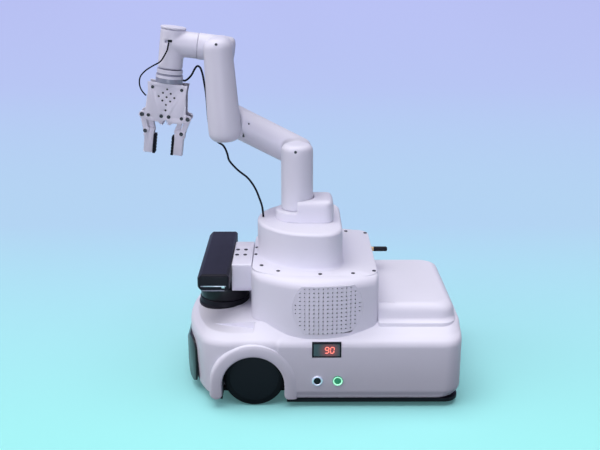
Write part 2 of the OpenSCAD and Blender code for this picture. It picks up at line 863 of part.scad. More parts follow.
// Sector of a spur gear round the origin; the teeth face -X
module gear_sector(teeth, pitch_r, phase) {
    step = 360 / teeth;
    root = pitch_r - 1.1;
    tip = pitch_r + 0.85;
    half_root = step * 0.33;
    half_tip = step * 0.13;
    for (k = [-4 : 4]) rotate(180 + k * step + phase)
        polygon([for (p = [[root - 0.5, -half_root], [pitch_r, -step * 0.235], [tip, -half_tip],
            [tip, half_tip], [pitch_r, step * 0.235], [root - 0.5, half_root]])
            p[0] * [cos(p[1]), sin(p[1])]]);
    intersection() {
        circle(root);
        polygon([[0, 0], for (a = [-5 : 5]) 40 * [cos(180 + a * step), sin(180 + a * step)]]);
    }
}

// Geared arm on the +X side, in the plane of the gripper
module gear_arm_plan(phase) {
    difference() {
        union() {
            translate([gear_x, -pivot_drop]) {
                gear_sector(gear_teeth, gear_x, phase);
                circle(5);
                rotate(-90 - link_tilt) translate([0, -3.4]) square([link_len, 6.8]);
            }
            translate([inner_foot_x, -foot_drop]) circle(3.4);
        }
        translate([gear_x, -pivot_drop]) circle(body_pin_r + fit);
        translate([inner_foot_x, -foot_drop]) circle(pin_r + fit);
    }
}

module gear_arm(side) {
    at_wrist() translate([0, gear_half_t, 0]) rotate([90, 0, 0]) linear_extrude(height = 2 * gear_half_t)
        mirror([side < 0 ? 1 : 0, 0]) gear_arm_plan(side < 0 ? 0 : 180 / gear_teeth);
}

module left_gear_arm() { color("#e8e8ee") gear_arm(1); }
module right_gear_arm() { color("#e8e8ee") gear_arm(-1); }

// Outer link on the +X side: one strip on each side of the finger
module outer_link(side) {
    at_wrist() for (y = [-7.6, 10.6]) translate([0, y, 0]) rotate([90, 0, 0])
        linear_extrude(height = 3) mirror([side < 0 ? 1 : 0, 0]) difference() {
            union() {
                translate([link_x, -pivot_drop]) {
                    circle(4.4);
                    rotate(-90 - link_tilt) translate([0, -3.6]) square([link_len, 7.2]);
                }
                translate([outer_foot_x, -foot_drop]) circle(4.2);
            }
            translate([link_x, -pivot_drop]) circle(body_pin_r + fit);
            translate([outer_foot_x, -foot_drop]) circle(pin_r + fit);
        }
}

module left_outer_link() { color("white") outer_link(1); }
module right_outer_link() { color("white") outer_link(-1); }

// Finger on the +X side: forked lug above, block below, with its two pins
module finger(side) {
    x0 = grip_half_gap + 3.5;
    at_wrist() mirror([side < 0 ? 1 : 0, 0, 0]) {
        for (y = [-4.4, 7.2]) translate([0, y, 0]) rotate([90, 0, 0]) linear_extrude(height = 2.8)
            box2(x0, 28.6, -finger_top - 2, -foot_drop + 3.6, [0, 0, 3, 3]);
        translate([x0, -7.2, -finger_end]) linear_extrude(height = finger_end - finger_top)
            box2(0, 12.9, 0, 14.4, [1, 2, 2, 1]);
        y_cylinder(pin_r, inner_foot_x, -foot_drop, -7.2, 7.2);
        y_cylinder(pin_r, outer_foot_x, -foot_drop, -11.6, 11.6);
        y_cylinder(2.6, outer_foot_x, -foot_drop, 10.9, 11.9);
        y_cylinder(2.6, outer_foot_x, -foot_drop, -11.9, -10.9);
    }
}

module left_finger() { color("white") finger(1); }
module right_finger() { color("white") finger(-1); }

module finger_pad(side) {
    at_wrist() mirror([side < 0 ? 1 : 0, 0, 0]) translate([grip_half_gap, 0, 0]) difference() {
        translate([0, -8, -finger_end - 0.5]) cube([3.45, 16, finger_end - finger_top + 1.3]);
        for (k = [0 : 5]) translate([-1, -10, -finger_end + 2.5 + k * 4.4]) cube([1.6, 20, 1.4]);
    }
}

module left_pad() { color("#141416") finger_pad(1); }
module right_pad() { color("#141416") finger_pad(-1); }

// ---------- cords ----------

// Route of the thin lead, from the wrist to the left side of the gripper
lead_route = [[172.8, -32, 461.8], [173.8, -30.6, 457.8], [174.9, -29.5, 452.8], [178, -29.5, 446.9],
    [185.1, -31, 437], [196.2, -34, 430.6], [206.3, -38, 424.3], [214.4, -43, 416.4],
    [217.9, -48, 408.4], [217.9, -51, 399.4], [214.8, -52, 392.4], [210.3, -52, 387.3]];

// Route of the gripper cable, from the tool flange past the forearm to the pedestal
cable_route = [[158.1, -50, 408.6], [155, -50, 408.3], [150.5, -50, 411], [145.5, -50, 416.5],
    [141, -49, 424.5], [137, -47.5, 428.6], [132.8, -45, 426.5], [129.5, -40, 418.5], [127, -33.5, 408],
    [125, -29.5, 397], [123.6, -27, 384], [122.8, -26.4, 368], [121.5, -25.5, 352], [118, -22, 338],
    [109, -13, 330], [101.5, -5, 327], [97.6, -1, 322.5], [94.8, 0, 315], [92.3, 0, 306],
    [81.5, 0, 293.5], [69, 0, 283.3], [62, 0, 274.5], [56.6, 0, 264.8], [52.5, 0, 254],
    [48.5, 0, 241], [47, 0, 226.2]];

function unit(v) = v / norm(v);

function tangent(p, i) = unit(p[min(i + 1, len(p) - 1)] - p[max(i - 1, 0)]);

// Tube of n sides along the points of p
module cord(p, r, n = 8) {
    rings = [for (i = [0 : len(p) - 1])
        let (t = tangent(p, i), a = unit(cross(t, [0.3, 1, 0.2])), b = cross(t, a))
            for (k = [0 : n - 1]) p[i] + r * (a * cos(360 * k / n) + b * sin(360 * k / n))];
    last = (len(p) - 1) * n;
    sides = [for (i = [0 : len(p) - 2], k = [0 : n - 1])
        [i * n + k, (i + 1) * n + k, (i + 1) * n + (k + 1) % n, i * n + (k + 1) % n]];
    polyhedron(points = rings,
        faces = concat([[for (k = [0 : n - 1]) k]], sides, [[for (k = [n - 1 : -1 : 0]) last + k]]),
        convexity = 6);
}

module sensor_lead() { color("#101014") cord(lead_route, 1); }
module gripper_cable() { color("#101014") cord(cable_route, 1.4); }

lower_shell();
base_plate();
front_visor();
rear_cover();
tower_shell();
speaker_grille();
speaker_driver();
deck_plate();
deck_screws();
pedestal();
arm_base();
display_housing();
display_window();
button_bezels();
stop_button();
start_button();
battery_pack();
control_board();
drive_motors();
left_wheel();
left_tyre();
right_wheel();
right_tyre();
caster_mounts();
left_caster_fork();
left_caster_wheel();
right_caster_fork();
right_caster_wheel();
lidar_base();
lidar_rotor();
camera_bracket();
bracket_screws();
camera_bar();
camera_trim();
camera_window();
antenna_base();
antenna_rod();
charge_port();
shoulder_housing();
upper_arm();
forearm();
wrist_elbow();
wrist_can();
can_cap();
tool_flange();
gripper_adapter();
gripper_plates();
gripper_servo();
gripper_pins();
left_gear_arm();
right_gear_arm();
left_outer_link();
right_outer_link();
left_finger();
right_finger();
left_pad();
right_pad();
sensor_lead();
gripper_cable();
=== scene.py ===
"""Looks of the mobile robot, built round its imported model.

Lengths in the helpers are millimetres, in the model's own frame: X is forward, Y is the robot's left,
Z is up, and the origin is on the floor under the first axis of the arm.
"""

import json
import math

import bmesh
import bpy
import numpy as np
from mathutils import Matrix, Vector


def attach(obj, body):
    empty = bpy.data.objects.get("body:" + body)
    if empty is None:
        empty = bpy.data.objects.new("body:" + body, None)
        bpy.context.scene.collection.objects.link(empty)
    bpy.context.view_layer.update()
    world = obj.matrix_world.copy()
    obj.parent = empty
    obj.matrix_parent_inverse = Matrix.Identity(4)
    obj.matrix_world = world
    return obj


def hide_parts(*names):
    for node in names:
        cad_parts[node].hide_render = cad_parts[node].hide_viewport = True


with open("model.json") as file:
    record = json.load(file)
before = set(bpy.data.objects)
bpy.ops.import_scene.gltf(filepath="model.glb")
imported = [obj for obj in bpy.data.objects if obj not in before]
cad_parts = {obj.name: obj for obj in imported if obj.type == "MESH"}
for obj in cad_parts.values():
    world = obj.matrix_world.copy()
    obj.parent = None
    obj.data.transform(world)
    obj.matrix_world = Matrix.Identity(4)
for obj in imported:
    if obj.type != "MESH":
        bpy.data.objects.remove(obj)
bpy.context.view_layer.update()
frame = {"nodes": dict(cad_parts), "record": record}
nodes = frame["nodes"]
body_of_node = {n: body for body, members in frame["record"]["behaviour"]["bodies"].items() for n in members}
slot_of_node = {part["node"]: part["material_slot"] for part in frame["record"]["subparts"]}

MM = 0.001
SEAM_ANGLE = math.radians(34)

# Places shared with the model
WRIST = (171.257, -50.0, 455.570)
TOOL_LEAN = 7.1
JOINT_PLANE = -25.0
SHOULDER_Z = 307.7
HALF_W, REAR_X, FRONT_X = 130.0, -217.7, 151.0
DISPLAY, DISPLAY_HALF = (-38.4, 83.5), (19.2, 10.7)
BUTTON_Z, STOP_X, START_X = 40.0, -26.3, -53.2
ARCH = (58.3, 33.0, 41.6)  # middle x, middle z and radius of a wheel arch
GRILLE, GRILLE_R, GRILLE_LOW, GRILLE_HIGH = (-39.6, 138.0), 46, 103, 169
WHEEL_AXLE = (57, 0, 41)
CASTER_X, CASTER_Y, WELL_R, WELL_LOW, WELL_HIGH = -165, 87, 36, 5, 47
SOCKET_Y, SOCKET_Z, SOCKET_R = -60, 60, 8.1
ANTENNA_Y, ANTENNA_Z, ANTENNA_R = -50, 162, 3.3
PEDESTAL_TOP, CAN_LENGTH = 226, 36


# ---------- camera, floor and lamps ----------


def place(name, data):
    thing = bpy.data.objects.new(name, data)
    bpy.context.scene.collection.objects.link(thing)
    return thing


def aim(thing, target):
    thing.rotation_euler = (Vector(target) - thing.location).to_track_quat("-Z", "Y").to_euler()


camera = place("camera", bpy.data.cameras.new("camera"))
camera.location = (0, 1.2, 0.588)
camera.rotation_euler = (math.radians(72.7), 0, math.radians(180 - 0.19))
camera.data.lens = 54
camera.data.sensor_width = 36
camera.data.clip_end = 40
bpy.context.scene.camera = camera


def softbox(name, place_at, target, width, height, watts, tint=(1, 1, 1)):
    data = bpy.data.lights.new(name, "AREA")
    data.shape = "RECTANGLE"
    data.size, data.size_y = width, height
    data.energy = watts
    data.color = tint
    lamp = place(name, data)
    lamp.location = place_at
    aim(lamp, target)
    return lamp


def sun(name, direction, spread, strength, tint=(1, 1, 1)):
    data = bpy.data.lights.new(name, "SUN")
    data.angle = math.radians(spread)
    data.energy = strength
    data.color = tint
    lamp = place(name, data)
    lamp.rotation_euler = Vector(direction).to_track_quat("-Z", "Y").to_euler()


sun("overhead_lamp", (-0.12, -0.03, -1), 62, 2.45, (1, 0.985, 0.98))
sun("nose_lamp", (-1, -0.25, -0.45), 60, 0.85, (1, 0.97, 1.0))
front = softbox("front_softbox", (0.1, 2.3, 0.37), (0.1, 0, 0.37), 2.0, 0.60, 1.05, (0.96, 0.96, 1.12))
front.data.spread = math.radians(6)


# ---------- finishes ----------

# The backdrop's colours from the floor in front, along the floor and up the wall behind
BACKDROP = ((0.372, 0.905, 0.872), (0.440, 0.645, 0.858), (0.470, 0.560, 0.885), (0.490, 0.490, 0.892))


class Term:
    """A node's output in a sum: operators on it add Math nodes."""

    def __init__(self, finish, socket):
        self.finish, self.socket = finish, socket

    def _maths(self, operation, *terms):
        return self.finish.node("ShaderNodeMath", {"operation": operation}, *terms)

    def __add__(self, other):
        return self._maths("ADD", self, other)

    def __sub__(self, other):
        return self._maths("SUBTRACT", self, other)

    def __mul__(self, other):
        return self._maths("MULTIPLY", self, other)

    def __rsub__(self, other):
        return self._maths("SUBTRACT", other, self)

    __radd__, __rmul__ = __add__, __mul__

    def above(self, level, blur):
        """0 well below level and 1 well above it."""
        return self.finish.node("ShaderNodeMapRange", {"interpolation_type": "SMOOTHSTEP"},
                                self, level - blur, level + blur, 0.0, 1.0)


class Wiring:
    """A node tree with a short way to add nodes to it."""

    def __init__(self, owner):
        owner.use_nodes = True
        self.tree = owner.node_tree
        self.tree.nodes.clear()
        self.output = None

    def node(self, kind, settings, *values, out=0, **named):
        """Adds a node: its settings first, then its inputs in order or by name. Returns one output."""
        added = self.tree.nodes.new(kind)
        for key, value in settings.items():
            if key == "stops":
                ramp = added.color_ramp
                while len(ramp.elements) < len(value):
                    ramp.elements.new(1.0)
                for element, (position, colour) in zip(ramp.elements, value):
                    element.position, element.color = position, colour
            else:
                setattr(added, key, value)
        sockets = list(zip(added.inputs, values))
        sockets += [(added.inputs[key.replace("_", " ")], value) for key, value in named.items()]
        for socket, value in sockets:
            if isinstance(value, Term):
                self.tree.links.new(value.socket, socket)
            else:
                socket.default_value = value
        return Term(self, added.outputs[out])

    def show(self, shader, kind="ShaderNodeOutputMaterial"):
        self.output = self.output or self.tree.nodes.new(kind)
        self.tree.links.new(shader.socket, self.output.inputs["Surface"])

    def looked_at(self):
        """1 where the surface is seen, directly or in metal and glass, and 0 for the light it sheds."""
        rays = [self.node("ShaderNodeLightPath", {}, out=out)
                for out in ("Is Camera Ray", "Is Glossy Ray", "Is Transmission Ray")]
        return self.node("ShaderNodeMath", {"operation": "MINIMUM"}, rays[0] + rays[1] + rays[2], 1.0)


class Finish(Wiring):
    """One material: a Principled shader, and the nodes that vary it over the surface."""

    def __init__(self, name, **fixed):
        self.material = bpy.data.materials.new(name)
        super().__init__(self.material)
        self.shader = self.tree.nodes.new("ShaderNodeBsdfPrincipled")
        self.surface = Term(self, self.shader.outputs["BSDF"])
        self.show(self.surface)
        for socket, value in fixed.items():
            self.shader.inputs[socket.replace("_", " ")].default_value = value
        self.place = self.node("ShaderNodeTexCoord", {}, out="Object")

    def drive(self, **terms):
        for socket, term in terms.items():
            self.tree.links.new(term.socket, self.shader.inputs[socket.replace("_", " ")])

    def noise(self, scale, detail=2.0, stretch=None):
        place_term = self.place
        if stretch:
            place_term = self.node("ShaderNodeMapping", {}, Vector=self.place, Scale=stretch)
        return self.node("ShaderNodeTexNoise", {}, out="Fac", Vector=place_term, Scale=scale, Detail=detail)

    def distance_from(self, point):
        return self.node("ShaderNodeVectorMath", {"operation": "DISTANCE"}, self.place, point, out="Value")

    def blend(self, factor, low, high):
        mix = self.tree.nodes.new("ShaderNodeMix")
        mix.data_type = "RGBA"
        for socket, value in ((mix.inputs[0], factor), (mix.inputs[6], low), (mix.inputs[7], high)):
            if isinstance(value, Term):
                self.tree.links.new(value.socket, socket)
            else:
                socket.default_value = value if isinstance(value, float) else (*value[:3], 1)
        return Term(self, mix.outputs[2])

    def bump(self, height, strength, distance):
        return self.node("ShaderNodeBump", {}, out="Normal", Height=height, Strength=strength,
                         Distance=distance)


def moulded_plastic(name, colour, rough, grain, depth, spread=0.03, coat=0.0, specular=0.5):
    """Injection-moulded plastic: spark-eroded grain, slight tone changes, and handling marks in the gloss."""
    finish = Finish(name, Coat_Weight=coat, Coat_Roughness=0.12, Specular_IOR_Level=specular)
    tone = finish.noise(9.0, 3.0)
    low = tuple(c * (1 - spread) for c in colour)
    high = tuple(min(1, c * (1 + spread * 0.6)) for c in colour)
    fine = finish.noise(grain, 2.0)
    smear = finish.noise(38.0, 4.0)
    finish.drive(Base_Color=finish.blend(tone, low, high),
                 Roughness=rough - 0.05 + 0.07 * smear + 0.04 * fine,
                 Normal=finish.bump(fine, 0.35, depth))
    return finish.material


def brushed_metal(name, colour, rough, stretch=(60, 60, 2400)):
    finish = Finish(name, Metallic=1.0)
    lines = finish.noise(1.0, 3.0, stretch)
    stain = finish.noise(30.0, 3.0)
    low = tuple(c * 0.82 for c in colour)
    finish.drive(Base_Color=finish.blend(lines * 0.6 + stain * 0.4, low, colour),
                 Roughness=rough + 0.14 * lines + 0.05 * stain,
                 Normal=finish.bump(lines, 0.4, 0.00002))
    return finish.material


def blackened_steel(name):
    finish = Finish(name, Metallic=0.7)
    wear = finish.noise(900.0, 3.0)
    finish.drive(Base_Color=finish.blend(wear.above(0.62, 0.12), (0.022, 0.022, 0.026), (0.10, 0.10, 0.11)),
                 Roughness=0.34 + 0.2 * wear, Normal=finish.bump(wear, 0.3, 0.00003))
    return finish.material


def rubber_compound(name, colour, rough, bloom):
    finish = Finish(name, Specular_IOR_Level=0.1)
    fine = finish.noise(1500.0, 3.0)
    dust = finish.noise(60.0, 4.0)
    pale = tuple(c + bloom for c in colour)
    finish.drive(Base_Color=finish.blend(dust.above(0.6, 0.2), colour, pale),
                 Roughness=rough + 0.1 * dust, Normal=finish.bump(fine, 0.5, 0.00005))
    return finish.material


def shrink_sleeve(name):
    finish = Finish(name, Coat_Weight=0.5, Coat_Roughness=0.1)
    crease = finish.noise(1.0, 3.0, (30, 30, 220))
    finish.drive(Base_Color=finish.blend(crease, (0.02, 0.07, 0.26), (0.04, 0.12, 0.36)),
                 Roughness=0.25 + 0.15 * crease, Normal=finish.bump(crease, 0.5, 0.0004))
    return finish.material


def circuit_board(name):
    """Green board with routed tracks and pads, seen through the solder mask."""
    finish = Finish(name, Coat_Weight=0.3, Coat_Roughness=0.2)
    tracks = finish.node("ShaderNodeTexBrick", {}, out="Fac", Vector=finish.place, Scale=120.0,
                         Mortar_Size=0.05)
    pads = finish.noise(260.0, 1.0).above(0.66, 0.02)
    mask = finish.blend(tracks, (0.01, 0.12, 0.05), (0.02, 0.24, 0.09))
    finish.drive(Base_Color=finish.blend(pads, mask, (0.75, 0.72, 0.6)), Roughness=0.4 + 0.1 * tracks)
    return finish.material


def lit_lens(name, colour, glow, strength):
    finish = Finish(name, Emission_Strength=strength, Roughness=0.25, Coat_Weight=0.6)
    frost = finish.noise(700.0, 2.0)
    finish.drive(Base_Color=finish.blend(frost, colour, tuple(min(1, c * 1.3) for c in colour)),
                 Emission_Color=finish.blend(frost, tuple(g * 0.85 for g in glow), glow))
    return finish.material


def dark_glass(name, colour, lit_at=None, glow=None):
    """Smoked glass, with the glow of the figures behind it where there are any."""
    finish = Finish(name, Coat_Weight=1.0, Coat_Roughness=0.03, Specular_IOR_Level=0.6)
    if lit_at:
        finish.shader.inputs["Emission Strength"].default_value = 1.0
        off = finish.distance_from(lit_at)
        finish.drive(Emission_Color=finish.blend(off.above(0.008, 0.009), glow, (0.0, 0.0, 0.0)))
    depth = finish.noise(120.0, 2.0)
    finish.drive(Base_Color=finish.blend(depth, colour, tuple(c * 1.5 for c in colour)),
                 Roughness=0.08 + 0.06 * depth)
    return finish.material


WHITE = (0.785, 0.775, 0.865)
finishes = {
    "white_plastic": moulded_plastic("white_plastic", WHITE, 0.38, 2600.0, 0.00002, specular=0.3),
    "black_plastic": moulded_plastic("black_plastic", (0.008, 0.008, 0.012), 0.46, 1700.0, 0.00004, 0.12,
                                     specular=0.14),
    "gloss_black": moulded_plastic("gloss_black", (0.006, 0.006, 0.009), 0.30, 2600.0, 0.00001, 0.1,
                                   coat=0.1, specular=0.2),
    "grey_plastic": moulded_plastic("grey_plastic", (0.28, 0.285, 0.37), 0.30, 2200.0, 0.00002, 0.05,
                                    coat=0.3),
    "rubber": rubber_compound("rubber", (0.007, 0.008, 0.013), 0.62, 0.005),
    "tyre": rubber_compound("tyre", (0.005, 0.005, 0.007), 0.50, 0.004),
    "steel": brushed_metal("steel", (0.66, 0.66, 0.69), 0.24),
    "bright_steel": brushed_metal("bright_steel", (0.93, 0.93, 0.97), 0.42),
    # Blackened steel for the dark screws; the same finish also gives the painted shade in the gripper plate's
    # holes
    "dark_steel": blackened_steel("dark_steel"),
    "brass": brushed_metal("brass", (0.78, 0.56, 0.26), 0.22, (2600, 60, 60)),
    "battery": shrink_sleeve("battery"),
    "board": circuit_board("board"),
    # Steel tinted green for the start button's bezel: painted green glow, the ring light's light falling on
    # the bezel
    "lit_steel": brushed_metal("lit_steel", (0.10, 0.42, 0.24), 0.24),
    "green_light": lit_lens("green_light", (0.01, 0.20, 0.08), (0.01, 0.20, 0.08), 0.5),
    "ring_light": lit_lens("ring_light", (0.3, 0.8, 0.5), (0.42, 1.0, 0.66), 0.95),
    "display_red": dark_glass("display_red", (0.022, 0.008, 0.030), (-0.042, 0.129, 0.083),
                              (0.22, 0.004, 0.006)),
    "digit_glow": lit_lens("digit_glow", (0.6, 0.12, 0.10), (1.0, 0.20, 0.14), 1.5),
}

for node_name, node_object in nodes.items():
    node_object.data.materials.clear()
    node_object.data.materials.append(finishes[slot_of_node[node_name]])


# ---------- shapes ----------

FLAT_ANGLE, BEVEL_ANGLE = math.radians(1.2), math.radians(32)
HELD_DEPTH, HELD_FADE = 1.2, 5.0  # how far the melting stays off a joint face, and comes in over
REACH, HALVINGS, PROBES = 420.0, 34, 4001  # the search for a plan's outline


def quarter_turn(count, start=0.0):
    """Angles up to a right angle."""
    return np.linspace(start, math.pi / 2, count)


def rectangle(left, low, right, high):
    return [(left, low), (right, low), (right, high), (left, high)]


def piece(name, mesh, body, finish, *stands_for, smooth=SEAM_ANGLE):
    """Puts a mesh on its body, gives it its finish and hides the model's pieces it stands for."""
    made = place(name, mesh)
    settle(mesh, smooth)
    mesh.materials.clear()
    mesh.materials.append(finishes[finish])
    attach(made, body)
    if stands_for:
        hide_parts(*stands_for)


def settle(mesh, smooth):
    mesh.polygons.foreach_set("use_smooth", [True] * len(mesh.polygons))
    mesh.set_sharp_from_angle(angle=smooth)


def mesh_of(points, faces):
    mesh = bpy.data.meshes.new("shape")
    mesh.from_pydata([tuple(c * MM for c in p) for p in points], [], faces)
    mesh.update()
    return mesh


def with_modifiers(mesh, *steps):
    """The mesh after a list of modifiers, each (type, settings)."""
    holder = place("holder", mesh)
    others = []
    for kind, settings in steps:
        step = holder.modifiers.new(kind, kind)
        for key, value in settings.items():
            if isinstance(value, bpy.types.Mesh):
                value = place("cutter", value)
                others.append(value)
            if key == "weights":
                group = holder.vertex_groups.new(name=key)
                for index, weight in enumerate(value):
                    group.add([index], weight, "REPLACE")
                key, value = "vertex_group", group.name
            setattr(step, key, value)
    graph = bpy.context.evaluated_depsgraph_get()
    result = bpy.data.meshes.new_from_object(holder.evaluated_get(graph))
    for used in [holder, *others]:
        bpy.data.objects.remove(used)
    return result


def cad_mesh(*names):
    """The model's meshes of these nodes with their shared corners joined again."""
    vertices, faces = [], []
    for name in names:
        source = nodes[name].data
        start = len(vertices)
        vertices += [tuple(v.co) for v in source.vertices]
        faces += [tuple(start + i for i in p.vertices) for p in source.polygons]
    mesh = bpy.data.meshes.new("copy")
    mesh.from_pydata(vertices, [], faces)
    return with_modifiers(mesh, ("WELD", {"merge_threshold": 1e-6}))


def subtract(mesh, cutter):
    return with_modifiers(mesh, ("BOOLEAN", {"operation": "DIFFERENCE", "solver": "EXACT", "object": cutter}))


def unite(mesh, other):
    return with_modifiers(mesh, ("BOOLEAN", {"operation": "UNION", "solver": "EXACT", "object": other}))


def softened(name, width, segments=2):
    """A node of the model with its moulded edges rounded off."""
    mesh = with_modifiers(
        cad_mesh(name),
        ("DECIMATE", {"decimate_type": "DISSOLVE", "angle_limit": FLAT_ANGLE}),
        ("BEVEL", {"width": width * MM, "segments": segments, "limit_method": "ANGLE",
                   "angle_limit": BEVEL_ANGLE, "use_clamp_overlap": True, "harden_normals": False}),
    )
    piece(name + "_body", mesh, body_of_node[name], slot_of_node[name], name)


def flowing(name, grain, rounds, hold, extra=None):
    """A node of the model as one moulding: its corners melt into fillets, but not at the faces in hold."""
    mesh = cad_mesh(name)
    if extra:
        mesh = unite(mesh, extra)
    mesh = with_modifiers(mesh, ("REMESH", {"mode": "VOXEL", "voxel_size": grain * MM}))
    places = np.empty(len(mesh.vertices) * 3, np.float32)
    mesh.vertices.foreach_get("co", places)
    places = places.reshape(-1, 3) / MM
    weights = np.ones(len(places))
    for point, normal in hold:
        distance = np.abs((places - np.array(point)) @ np.array(normal))
        weights = np.minimum(weights, np.clip((distance - HELD_DEPTH) / HELD_FADE, 0, 1))
    mesh = with_modifiers(
        mesh, ("SMOOTH", {"factor": 0.5, "iterations": rounds, "weights": weights.tolist()}))
    piece(name + "_body", mesh, body_of_node[name], slot_of_node[name], name, smooth=math.radians(50))


def outline_solid(outline, low, high, axis="Z"):
    """A closed prism of an outline between two levels along an axis."""
    count = len(outline)
    lift = {"Z": lambda p, h: (p[0], p[1], h), "Y": lambda p, h: (p[0], h, p[1]),
            "X": lambda p, h: (h, p[0], p[1])}[axis]
    points = [lift(p, low) for p in outline] + [lift(p, high) for p in outline]
    sides = [(i, (i + 1) % count, count + (i + 1) % count, count + i) for i in range(count)]
    faces = [tuple(range(count))[::-1], *sides, tuple(range(count, 2 * count))]
    return outward(mesh_of(points, faces))


def outward(mesh):
    """Turns the faces of a closed mesh outward."""
    work = bmesh.new()
    work.from_mesh(mesh)
    bmesh.ops.recalc_face_normals(work, faces=work.faces)
    work.to_mesh(mesh)
    work.free()
    return mesh


def arc(cx, cy, radius, start, end, steps):
    return [(cx + radius * math.cos(math.radians(start + (end - start) * k / steps)),
             cy + radius * math.sin(math.radians(start + (end - start) * k / steps)))
            for k in range(steps + 1)]


def turned(profile, at=(0, 0, 0), axis="Z", steps=64):
    """A closed turned shape. The profile's (radius, height) pairs run between the axis's ends, or loop."""
    ring = [(math.cos(2 * math.pi * k / steps), math.sin(2 * math.pi * k / steps)) for k in range(steps)]
    points, rows = [], []
    for radius, height in profile:
        if radius < 1e-6:
            rows.append([len(points)] * steps)
            points.append((0, 0, height))
        else:
            rows.append(list(range(len(points), len(points) + steps)))
            points += [(radius * c, radius * s, height) for c, s in ring]
    if profile[0] == profile[-1]:
        del points[-steps:]
        rows[-1] = rows[0]
    faces = []
    for low, high in zip(rows, rows[1:]):
        for k in range(steps):
            face = [low[k], low[(k + 1) % steps], high[(k + 1) % steps], high[k]]
            face = [v for i, v in enumerate(face) if v not in face[:i]]
            if len(face) > 2:
                faces.append(tuple(face))
    turn = {"Z": lambda p: p, "Y": lambda p: (p[0], p[2], -p[1]), "-Y": lambda p: (p[0], -p[2], p[1]),
            "X": lambda p: (p[2], p[1], -p[0]), "-X": lambda p: (-p[2], p[1], p[0])}[axis]
    points = [tuple(a + b for a, b in zip(turn(p), at)) for p in points]
    return outward(mesh_of(points, faces))


def joined(*meshes):
    """Several closed shapes as one mesh."""
    vertices, faces = [], []
    for mesh in meshes:
        start = len(vertices)
        vertices += [tuple(v.co) for v in mesh.vertices]
        faces += [tuple(start + i for i in p.vertices) for p in mesh.polygons]
    result = bpy.data.meshes.new("joined")
    result.from_pydata(vertices, [], faces)
    return result


def at_wrist(mesh):
    """From the wrist's frame, with -Z along the tool, to the model's frame."""
    lean = Matrix.Rotation(math.radians(-TOOL_LEAN), 4, "Y")
    mesh.transform(Matrix.Translation(Vector(WRIST) * MM) @ lean)
    return mesh


# Plans as distances to curved walls, positive outside


def rounded_corner(a, b, radius):
    """Where two walls meet, with that rounding. The arguments are distances outside each wall."""
    inside = np.maximum(a, b)
    both = np.hypot(np.maximum(a + radius, 0), np.maximum(b + radius, 0)) - radius
    return np.where((a > -radius) & (b > -radius), both, inside)


def loft(plan, rings, centre, count=480, even=0):
    """A closed shell of stacked outlines. plan(x, y, ring) is the distance outside a ring (z, value)."""
    def radii(angles, ring):
        near, far = np.zeros(len(angles)), np.full(len(angles), REACH)
        c, s = np.cos(angles), np.sin(angles)
        for _ in range(HALVINGS):
            middle = (near + far) / 2
            outside = plan(centre[0] + middle * c, centre[1] + middle * s, ring) > 0
            far, near = np.where(outside, middle, far), np.where(outside, near, middle)
        return near

    fine = np.linspace(0, 2 * np.pi, PROBES)
    reach = radii(fine, rings[even])
    x, y = reach * np.cos(fine), reach * np.sin(fine)
    along = np.concatenate([[0], np.cumsum(np.hypot(np.diff(x), np.diff(y)))])
    angles = np.interp(np.linspace(0, along[-1], count, endpoint=False), along, fine)
    points = []
    for ring in rings:
        reach = radii(angles, ring)
        height = ring[0]
        for angle, r in zip(angles, reach):
            px, py = centre[0] + r * math.cos(angle), centre[1] + r * math.sin(angle)
            points.append((px, py, height(px, py) if callable(height) else height))
    faces = []
    for level in range(len(rings) - 1):
        low = level * count
        for k in range(count):
            n = (k + 1) % count
            faces.append((low + k, low + n, low + count + n, low + count + k))
    faces.append(tuple(range(count))[::-1])
    faces.append(tuple(range((len(rings) - 1) * count, len(rings) * count)))
    return mesh_of(points, faces)


# ---------- lower body ----------


def wall_insets(profile, z):
    heights, insets = zip(*profile)
    return float(np.interp(z, heights, insets))


def shoulder_profile(rim, wall_top, bend, ledge, top):
    """Inset of a wall against height: rounded foot, upright wall, bend, then a sloped ledge up to the top."""
    steps = [(rim + 3 - 3 * math.cos(a), 3 - 3 * math.sin(a)) for a in quarter_turn(6)]
    lean = math.atan2(top - wall_top - bend * 0.75, ledge - bend * 0.6)
    steps += [(wall_top + bend * math.sin(a), bend - bend * math.cos(a))
              for a in np.linspace(0, math.pi / 2 - lean, 9)]
    return [*steps, (top, ledge)]


SIDE_WALL = shoulder_profile(13, 86, 11, 31, 110)
NOSE_WALL = shoulder_profile(13, 84, 16, 20, 110)
TAIL_WALL = [(13 + 15 - 15 * math.cos(a), 15 - 15 * math.sin(a)) for a in quarter_turn(10)]
TAIL_WALL += [(107.0 + 3 * math.sin(a), 3 - 3 * math.cos(a)) for a in quarter_turn(5)]
NOSE_R, CORNER_R, TAIL_R = 240.0, 24.0, 24.0
PANEL_FRONT, PANEL_TOP, PANEL_CORNER, PANEL_RAISE = 27.0, 99.0, 11.0, 1.6
FRONT_DECK_X, FRONT_DECK_Z = 57, 101.0
NOSE_LEAN, LEAN_TOP = 0.055, 70


def flank_panel(x, z):
    """1 on the raised panel behind the wheel arch and 0 off it, softly in between."""
    edge = rounded_corner(x - PANEL_FRONT, z - PANEL_TOP, PANEL_CORNER)
    off = np.clip((edge + 2.2) / 2.6, 0, 1)
    return 1 - off ** 2 * (3 - 2 * off)


def body_plan(x, y, ring):
    z = ring[1]
    side = np.abs(y) - HALF_W + wall_insets(SIDE_WALL, z)
    raised = flank_panel(x, min(z, 108.0)) * np.clip((z - 18.0) / 6.0, 0, 1)
    side = side + PANEL_RAISE * (1 - raised)
    bow = np.hypot(x - (FRONT_X - NOSE_R), y) - NOSE_R + wall_insets(NOSE_WALL, z)
    bow = bow + NOSE_LEAN * max(0.0, LEAN_TOP - z)
    tail = REAR_X - x + wall_insets(TAIL_WALL, z)
    shell = rounded_corner(side, bow, CORNER_R)
    return rounded_corner(shell, tail, TAIL_R)


